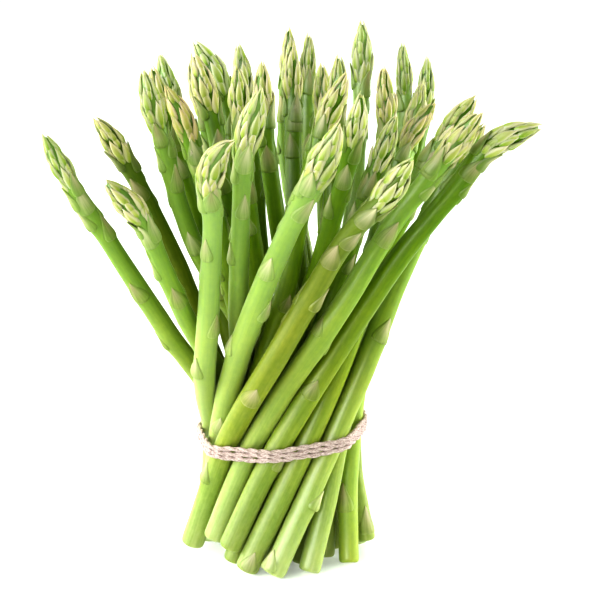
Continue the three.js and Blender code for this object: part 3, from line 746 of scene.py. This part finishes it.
DIRECTIONS = 720
STRAIGHT_BACK = DIRECTIONS // 4
WIND_STEP = 0.5 / 36  # radians between the wound path's places
CLIMB = 0.04  # the share of a turn in which the twine climbs to the next one
FINE = 0.5  # between the places of a short path


def loop_height(x):
    return TIE.z + (x - TIE.x) * TWINE_TILT


def tight_reach(spears):
    """How far out from the tie's middle a tight string lies, in every direction."""
    around = np.linspace(0, TAU, 24, endpoint=False)
    past_the_tie = np.arange(25, 95, 0.75)
    angle, distance = (grid.ravel() for grid in np.meshgrid(around, past_the_tie))
    skin = []
    for spear in spears:
        skin.append(spear.line.bend(round_about(angle, spear.stem_radius(distance), distance)))
    skin = np.concatenate(skin)
    inside = np.abs(skin[:, 2] - loop_height(skin[:, 0])) < TWINE_PITCH + TWINE / 2
    plan = skin[inside, :2] - [TIE.x, TIE.y]
    rim = plan[convex_hull_2d([Vector(point) for point in plan])]
    edge = np.roll(rim, -1, axis=0) - rim
    reaches = []
    for direction in np.linspace(0, TAU, DIRECTIONS, endpoint=False):
        ray = np.array([math.cos(direction), math.sin(direction)])
        cross = ray[0] * edge[:, 1] - ray[1] * edge[:, 0]
        cross = np.where(np.abs(cross) < 1e-9, 1e-9, cross)
        far = (rim[:, 0] * edge[:, 1] - rim[:, 1] * edge[:, 0]) / cross
        share = (rim[:, 0] * ray[1] - rim[:, 1] * ray[0]) / cross
        reaches.append(far[(share >= -TINY) & (share <= 1 + TINY)].max())
    return np.array(reaches)


def wound_path(reaches):
    """Three turns from the knot at the back round to it again, a little uneven."""
    turns = np.arange(0, TWINE_TURNS * TAU, WIND_STEP)
    direction = turns + TAU / 4
    reach = np.interp(direction % TAU, np.linspace(0, TAU, DIRECTIONS + 1), np.r_[reaches, reaches[0]])
    turn = turns / TAU
    step = np.floor(turn) + np.clip((turn % 1 - (1 - CLIMB)) / CLIMB, 0, 1)
    rise = (step - (TWINE_TURNS - 1) / 2) * TWINE_PITCH
    wobble = 0.16 * np.sin(direction * 7.0 + step * 2.1) + 0.1 * np.sin(direction * 17.0 + step * 4.0)
    out = reach + TWINE / 2 + TWINE_SLACK + 0.08 * np.sin(direction * 11 + step)
    x = TIE.x + out * np.cos(direction)
    y = TIE.y + out * np.sin(direction)
    return np.stack([x, y, loop_height(x) + rise + wobble], -1)


def sides_of(path):
    """A level direction, and one square to it and to the path, at each of a path's places."""
    ahead = directions_along(path)
    side = np.cross(ahead, [0, 0, 1.0])
    side /= np.maximum(np.linalg.norm(side, axis=1), TINY)[:, None]
    return side, np.cross(ahead, side)


def tube(path, radius, sides, start_length=0.0):
    """A round tube along a path, as a part: its leaf places are the place around it and along it."""
    count = len(path)
    side, other = sides_of(path)
    length = start_length + lengths_along(path)
    turn = np.linspace(0, TAU, sides, endpoint=False)
    around = np.cos(turn)[None, :, None] * side[:, None] + np.sin(turn)[None, :, None] * other[:, None]
    rings = path[:, None] + radius * around
    corners = np.concatenate([rings.reshape(-1, 3), path[:1], path[-1:]])
    across, above = (np.tile(values, count) for values in (np.sin(turn), np.cos(turn)))
    leaf = np.stack([across, np.repeat(length, sides), above], -1)
    leaf = np.concatenate([leaf, [[0, length[0], 0], [0, length[-1], 0]]])
    ring, corner = np.meshgrid(np.arange(count - 1), np.arange(sides), indexing="ij")
    a = (ring * sides + corner).ravel()
    b = (ring * sides + (corner + 1) % sides).ravel()
    quads = np.stack([a, b, b + sides, a + sides], -1).ravel()
    here = np.arange(sides)
    onward = np.roll(here, -1)
    last = (count - 1) * sides
    foot = np.stack([onward, here, np.full(sides, count * sides)], -1)
    top = np.stack([last + here, last + onward, np.full(sides, count * sides + 1)], -1)
    loops = np.concatenate([quads, foot.ravel(), top.ravel()])
    starts = np.r_[np.arange(0, len(quads), 4), len(quads) + np.arange(0, 6 * sides, 3)]
    return corners, leaf, loops, starts, np.zeros(len(starts))


def two_ply(path):
    """Two strands of twine twisted round each other along a path."""
    side, other = sides_of(path)
    parts = []
    for ply in range(2):
        twist = (lengths_along(path) / STRAND_PITCH * TAU + ply * math.pi)[:, None]
        middle = path + TWINE / 2 * STRAND_OFF * (np.cos(twist) * side + np.sin(twist) * other)
        parts.append(tube(middle, TWINE / 2 * STRAND_RADIUS, STRAND_SIDES, ply * 500.0))
    return parts


def through(points):
    """A smooth path through points (Catmull-Rom), in fine steps."""
    points = np.array(points, float)
    padded = np.concatenate([[2 * points[0] - points[1]], points, [2 * points[-1] - points[-2]]])
    path = []
    for k in range(len(points) - 1):
        a, b, c, d = padded[k : k + 4]
        count = max(2, int(np.linalg.norm(c - b) / FINE))
        t = np.linspace(0, 1, count, endpoint=False)[:, None]
        square, cube = (2 * a - 5 * b + 4 * c - d) * t**2, (3 * b - a - 3 * c + d) * t**3
        path.append((2 * b + (c - a) * t + square + cube) / 2)
    path.append(points[-1:])
    return np.concatenate(path)


# The knot at the back, from its middle: one piece over the turns and one round it, and the two ends
# that hang out of it
KNOT = [
    [(-3.4, -1.2, -2.6), (-2.2, 0.9, -3.0), (0.2, 1.9, -1.4), (0.6, 1.9, 1.6),
     (-1.6, 0.9, 3.2), (-3.2, -0.9, 3.0)],
    [(3.4, -1.2, 2.6), (2.4, 1.4, 2.4), (0.2, 3.0, 0.8), (-1.8, 2.6, -1.0), (-2.6, 0.8, -2.6),
     (-0.4, -0.6, -3.4), (2.0, 0.9, -3.2), (3.2, 1.0, -0.8), (1.6, 2.8, 0.6), (-0.8, 3.2, 0.2),
     (-2.8, 1.8, 0.6), (-3.6, -0.6, 1.4)],
    [(-1.0, 1.4, -0.6), (-3.4, 2.0, -1.8), (-6.8, 1.9, -3.7), (-10.0, 1.3, -5.4), (-12.0, 0.9, -6.9)],
    [(1.0, 1.4, -0.6), (3.4, 2.0, -1.8), (6.9, 1.9, -3.6), (9.8, 1.5, -5.3), (12.2, 1.0, -7.1)],
]


def fuzz(path):
    """Loose fibres that stand off the twine."""
    parts = []
    for _ in range(FIBRES):
        k = rng.randrange(4, len(path) - 8)
        ahead = path[k + 1] - path[k - 1]
        ahead /= np.linalg.norm(ahead)
        out = np.array([rng.gauss(0, 1) for _ in range(3)])
        out -= ahead * (out @ ahead)
        out /= np.linalg.norm(out)
        root = path[k] + out * TWINE / 2 * 0.8
        reach = rng.uniform(0.3, 1.3)
        lean = rng.uniform(-2.2, 2.2)
        points = [root, root + out * reach * 0.6 + ahead * lean * 0.5, root + out * reach + ahead * lean]
        parts.append(tube(through(points), FIBRE_RADIUS, 3))
    return parts


# ---- Building ------------------------------------------------------------------------------------

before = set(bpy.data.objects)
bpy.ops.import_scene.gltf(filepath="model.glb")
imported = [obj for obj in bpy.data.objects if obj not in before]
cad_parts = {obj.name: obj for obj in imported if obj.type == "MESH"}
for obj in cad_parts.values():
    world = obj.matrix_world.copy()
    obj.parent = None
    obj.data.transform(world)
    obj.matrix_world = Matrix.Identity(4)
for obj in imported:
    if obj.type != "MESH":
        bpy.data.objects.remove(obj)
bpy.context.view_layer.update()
bpy.ops.object.select_all(action="DESELECT")

STEM_BLANK = stem_blank()
BUD_BLANK = bud_blank()
SCALE_BLANK = scale_blank()

skins = {
    "usual": (skin_material("waxy_green_skin", GREEN), scale_material("papery_scale", GREEN)),
    "olive": (skin_material("ripe_olive_skin", RIPE), scale_material("ripe_papery_scale", RIPE)),
    "lemon": (skin_material("lemon_green_skin", LEMON), scale_material("lemon_papery_scale", LEMON)),
}
head_and_foot = (bud_material(), cut_material())

spears = [Spear(number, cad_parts[f"spear_{number:02d}"]) for number in range(1, SPEARS + 1)]
for spear in spears:
    materials = skins[OTHER_SKINS.get(spear.number, "usual")] + head_and_foot
    parts = spear_parts(spear)
    tones = (spear.tone, spear.fawn)
    name = f"asparagus_{spear.number:02d}"
    made = join_parts(name, parts, spear.line.bend_on_ground, materials, spear.length, tones)
    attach(made, "root")
    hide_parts(f"spear_{spear.number:02d}")

reaches = tight_reach(spears)
wound = wound_path(reaches)
knot_middle = np.array([TIE.x, TIE.y + reaches[STRAIGHT_BACK] + TWINE + 2 * TWINE_SLACK, TIE.z])
knot = [through([knot_middle + np.array(point) for point in points]) for points in KNOT]
parts = [part for path in [wound] + knot for part in two_ply(path)] + fuzz(wound)
twine = join_parts("jute_twine", parts, lambda placed: placed, [jute_material()])
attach(twine, "root")
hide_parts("twine")

# ---- Floor, light and camera, in metres ----------------------------------------------------------

bpy.ops.mesh.primitive_plane_add(size=8)
floor = bpy.context.object
floor.name = "floor"
white, _, white_shader = new_material("glowing_white_board", "#d8dede", Roughness=0.9, Emission_Strength=0.2)
white_shader.inputs["Emission Color"].default_value = linear("#ffffff")
floor.data.materials.append(white)

world = bpy.data.worlds.new("studio")
world.use_nodes = True
world.node_tree.nodes["Background"].inputs["Color"].default_value = linear("#f4ffde")
world.node_tree.nodes["Background"].inputs["Strength"].default_value = 0.38
scene = bpy.context.scene
scene.world = world
scene.view_settings.view_transform = "Standard"
scene.view_settings.look = "High Contrast"

# Place, width, height and brightness of each soft light. The side panels give the stems bright rims,
# and the gloss box only shines in the wax
LIGHTS = {
    "key_box": ((-0.8, -1.0, 0.9), 1.5, 1.3, 2.3),
    "fill_panel": ((1.1, -1.1, 0.35), 1.2, 1.0, 1.0),
    "gloss_box": ((-1.0, -1.0, 0.9), 1.8, 1.8, 22.0),
    "left_panel": ((-1.3, 0.3, 0.2), 1.2, 1.0, 9.0),
    "right_panel": ((1.3, 0.4, 0.15), 1.2, 1.0, 11.0),
    "back_panel": ((0, 1.3, 1.2), 2.0, 1.0, 2.5),
}
LIT_POINT = Vector((0, 0, 0.1))

for name, (place, width, height, radiance) in LIGHTS.items():
    data = bpy.data.lights.new(name, "AREA")
    data.shape = "RECTANGLE"
    data.size, data.size_y = width, height
    data.energy = radiance * math.pi * width * height
    light = bpy.data.objects.new(name, data)
    light.location = place
    light.rotation_euler = (LIT_POINT - light.location).to_track_quat("-Z", "Y").to_euler()
    light.visible_diffuse = name != "gloss_box"
    scene.collection.objects.link(light)

VIEW_DISTANCE = 0.8
VIEW_HEIGHT = 0.3363
VIEW_DOWN = math.radians(15.9)
VIEW_SHIFT = 16 / 600  # the bundle stands a little left of the middle

camera_data = bpy.data.cameras.new("camera")
camera_data.lens = 121
camera_data.sensor_width = 36
camera_data.shift_x = VIEW_SHIFT
camera_data.clip_start = 0.01
camera = bpy.data.objects.new("camera", camera_data)
camera.location = (TIE.x * MM, TIE.y * MM - VIEW_DISTANCE, VIEW_HEIGHT)
camera.rotation_euler = (math.pi / 2 - VIEW_DOWN, 0, 0)
scene.collection.objects.link(camera)
scene.camera = camera
